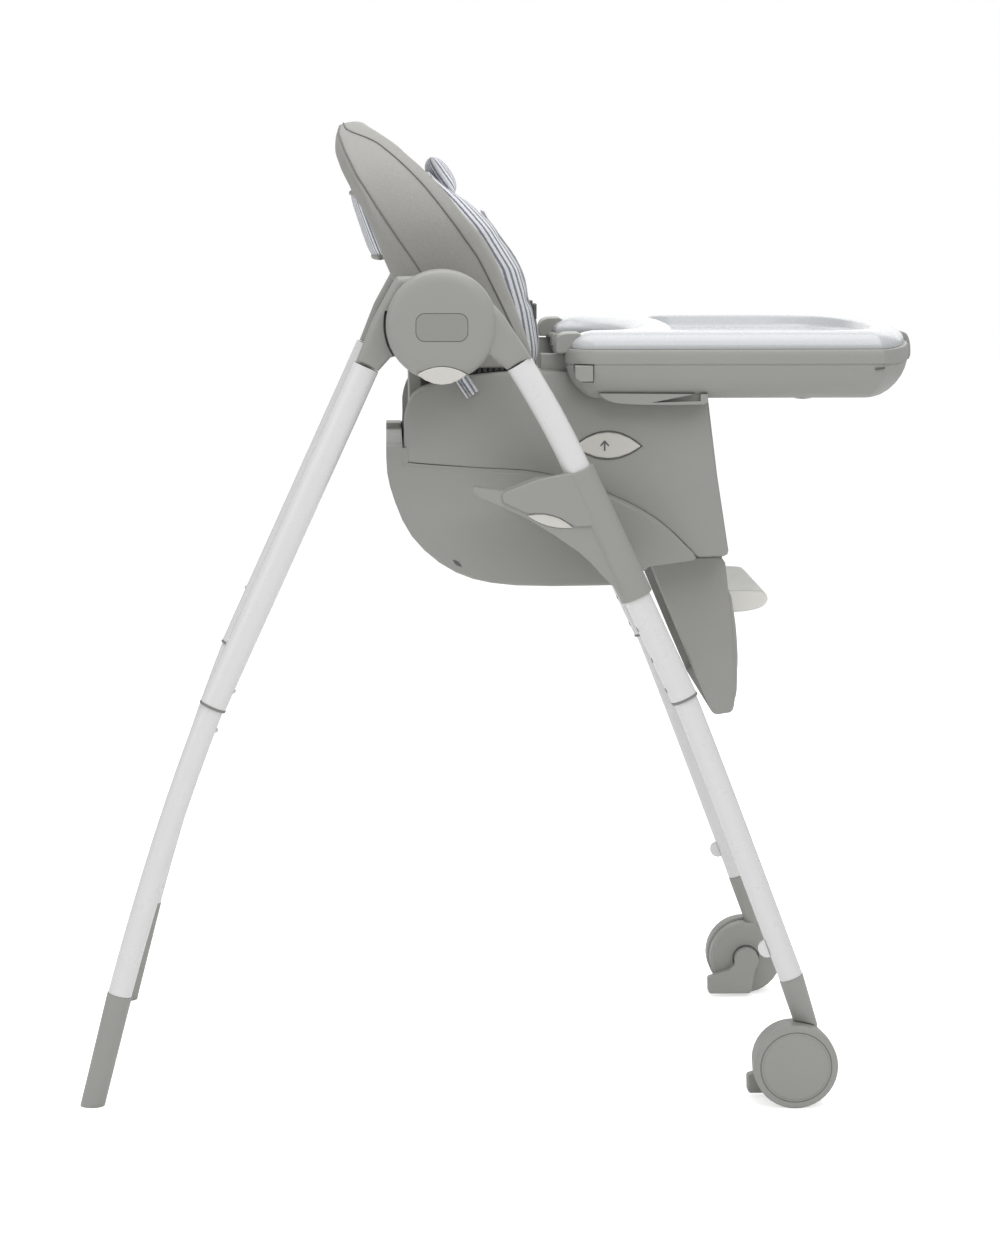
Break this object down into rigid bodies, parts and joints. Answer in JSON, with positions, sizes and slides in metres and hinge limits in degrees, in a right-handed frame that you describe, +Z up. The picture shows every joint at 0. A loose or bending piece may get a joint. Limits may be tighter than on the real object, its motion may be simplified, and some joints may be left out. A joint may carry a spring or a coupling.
{
  "type": "baby high chair",
  "caption": "Folding A-frame baby high chair with a height-adjustable padded seat, reclining back, sliding tray with lift-out insert, hinged calf rest, harness, front castors and rear feet.",
  "frame": {"origin": "centre of the footprint box on the floor, z = 0 under the wheels and the rear feet", "axes": "+X the way the child faces, +Y the chair's left, +Z up"},
  "size_m": [0.9166, 0.567, 1.0505],
  "materials": {
    "grey_plastic": "warm mid-grey moulded plastic, fine satin texture",
    "dark_plastic": "near-black moulded plastic, satin",
    "white_tube": "white powder-coated steel tube, semi-gloss",
    "pale_plastic": "pale warm-grey plastic, smooth satin",
    "tray_white": "cool white moulded plastic, smooth and glossy",
    "footrest_cream": "cream moulded plastic, smooth",
    "leatherette": "grey leatherette, fine grain, stitched and piped",
    "striped_fabric": "white woven cotton with thin dark blue-grey stripes",
    "webbing": "grey woven harness webbing",
    "steel": "zinc-plated steel pin"
  },
  "bodies": {
    "front_frame": {"hub_housing_right": "grey_plastic", "hub_housing_left": "grey_plastic", "hub_badge_right": "grey_plastic", "hub_badge_left": "grey_plastic", "hub_pivot_right": "steel", "hub_pivot_left": "steel", "front_upper_tube_right": "white_tube", "front_upper_tube_left": "white_tube", "front_lower_tube_right": "white_tube", "front_lower_tube_left": "white_tube", "front_collar_right": "dark_plastic", "front_collar_left": "dark_plastic", "castor_housing_right": "grey_plastic", "castor_housing_left": "grey_plastic", "castor_bracket_right": "white_tube", "castor_bracket_left": "white_tube", "wheel_axle_right": "steel", "wheel_axle_left": "steel", "front_crossbar": "white_tube"},
    "rear_frame": {"rear_hub_disc_right": "grey_plastic", "rear_hub_disc_left": "grey_plastic", "rear_upper_tube_right": "white_tube", "rear_upper_tube_left": "white_tube", "rear_lower_tube_right": "white_tube", "rear_lower_tube_left": "white_tube", "rear_collar_right": "dark_plastic", "rear_collar_left": "dark_plastic", "rear_foot_right": "grey_plastic", "rear_foot_left": "grey_plastic", "rear_crossbar": "white_tube"},
    "seat": {"height_carriage_right": "grey_plastic", "height_carriage_left": "grey_plastic", "seat_lower_shell": "grey_plastic", "seat_upper_shell": "grey_plastic", "seat_cushion": "leatherette", "lap_straps": "webbing", "harness_buckle": "pale_plastic"},
    "backrest": {"backrest_shell": "grey_plastic", "backrest_cover": "leatherette", "back_pad": "striped_fabric", "rear_pocket": "striped_fabric", "shoulder_straps": "webbing"},
    "tray": {"tray_body": "grey_plastic"},
    "tray_insert": {"tray_insert": "tray_white"},
    "tray_release": {"tray_release": "grey_plastic"},
    "calf_rest": {"calf_rest": "leatherette"},
    "footrest": {"footrest": "footrest_cream"},
    "buckle_button": {"buckle_button": "dark_plastic"},
    "wheel_right": {"wheel_right": "grey_plastic"},
    "wheel_left": {"wheel_left": "grey_plastic"},
    "brake_pedal_right": {"brake_pedal_right": "grey_plastic"},
    "brake_pedal_left": {"brake_pedal_left": "grey_plastic"},
    "fold_button_right": {"fold_button_right": "pale_plastic"},
    "fold_button_left": {"fold_button_left": "pale_plastic"},
    "height_button_right": {"height_button_right": "pale_plastic"},
    "height_button_left": {"height_button_left": "pale_plastic"},
    "seat_release_right": {"seat_release_right": "pale_plastic"},
    "seat_release_left": {"seat_release_left": "pale_plastic"},
    "tray_button_right": {"tray_button_right": "grey_plastic"},
    "tray_button_left": {"tray_button_left": "grey_plastic"}
  },
  "joints": [
    {"name": "frame_fold", "type": "hinge", "parent": "front_frame", "child": "rear_frame", "pos_m": [-0.067, 0, 0.8395], "axis": [0, -1, 0], "range_deg": [0, 40]},
    {"name": "seat_height", "type": "slide", "parent": "front_frame", "child": "seat", "axis": [-0.4258, 0, 0.9048], "range_m": [-0.095, 0]},
    {"name": "backrest_recline", "type": "hinge", "parent": "seat", "child": "backrest", "pos_m": [-0.0945, 0, 0.735], "axis": [0, -1, 0], "range_deg": [0, 22]},
    {"name": "tray_slide", "type": "slide", "parent": "seat", "child": "tray", "axis": [1, 0, 0], "range_m": [-0.02, 0.06]},
    {"name": "insert_lift", "type": "slide", "parent": "tray", "child": "tray_insert", "axis": [0, 0, 1], "range_m": [0, 0.05]},
    {"name": "tray_release_pull", "type": "slide", "parent": "tray", "child": "tray_release", "axis": [1, 0, 0], "range_m": [0, 0.012], "stiffness_N_per_m": 800, "springref_m": -0.001},
    {"name": "calf_rest_tilt", "type": "hinge", "parent": "seat", "child": "calf_rest", "pos_m": [0.232, 0, 0.5725], "axis": [0, -1, 0], "range_deg": [0, 70]},
    {"name": "footrest_slide", "type": "slide", "parent": "calf_rest", "child": "footrest", "axis": [0.105, 0, -0.9945], "range_m": [0, 0.09]},
    {"name": "buckle_press", "type": "slide", "parent": "seat", "child": "buckle_button", "axis": [0, 0, -1], "range_m": [0, 0.0027], "stiffness_N_per_m": 800, "springref_m": -0.001},
    {"name": "wheel_spin_right", "type": "hinge", "parent": "front_frame", "child": "wheel_right", "pos_m": [0.3115, -0.2495, 0.0455], "axis": [0, 1, 0], "continuous": true},
    {"name": "brake_lift_right", "type": "hinge", "parent": "front_frame", "child": "brake_pedal_right", "pos_m": [0.3115, -0.2265, 0.0455], "axis": [0, 1, 0], "range_deg": [0, 14]},
    {"name": "fold_button_press_right", "type": "slide", "parent": "front_frame", "child": "fold_button_right", "axis": [0, 1, 0], "range_m": [0, 0.003], "stiffness_N_per_m": 800, "springref_m": -0.001},
    {"name": "height_button_press_right", "type": "slide", "parent": "seat", "child": "height_button_right", "axis": [0, 1, 0], "range_m": [0, 0.003], "stiffness_N_per_m": 800, "springref_m": -0.001},
    {"name": "seat_release_press_right", "type": "slide", "parent": "seat", "child": "seat_release_right", "axis": [0, 1, 0], "range_m": [0, 0.003], "stiffness_N_per_m": 800, "springref_m": -0.001},
    {"name": "tray_button_press_right", "type": "slide", "parent": "tray", "child": "tray_button_right", "axis": [0, 1, 0], "range_m": [0, 0.004], "stiffness_N_per_m": 800, "springref_m": -0.001},
    {"name": "wheel_spin_left", "type": "hinge", "parent": "front_frame", "child": "wheel_left", "pos_m": [0.3115, 0.2495, 0.0455], "axis": [0, 1, 0], "continuous": true},
    {"name": "brake_lift_left", "type": "hinge", "parent": "front_frame", "child": "brake_pedal_left", "pos_m": [0.3115, 0.2265, 0.0455], "axis": [0, 1, 0], "range_deg": [0, 14]},
    {"name": "fold_button_press_left", "type": "slide", "parent": "front_frame", "child": "fold_button_left", "axis": [0, -1, 0], "range_m": [0, 0.003], "stiffness_N_per_m": 800, "springref_m": -0.001},
    {"name": "height_button_press_left", "type": "slide", "parent": "seat", "child": "height_button_left", "axis": [0, -1, 0], "range_m": [0, 0.003], "stiffness_N_per_m": 800, "springref_m": -0.001},
    {"name": "seat_release_press_left", "type": "slide", "parent": "seat", "child": "seat_release_left", "axis": [0, -1, 0], "range_m": [0, 0.003], "stiffness_N_per_m": 800, "springref_m": -0.001},
    {"name": "tray_button_press_left", "type": "slide", "parent": "tray", "child": "tray_button_left", "axis": [0, -1, 0], "range_m": [0, 0.004], "stiffness_N_per_m": 800, "springref_m": -0.001}
  ]
}
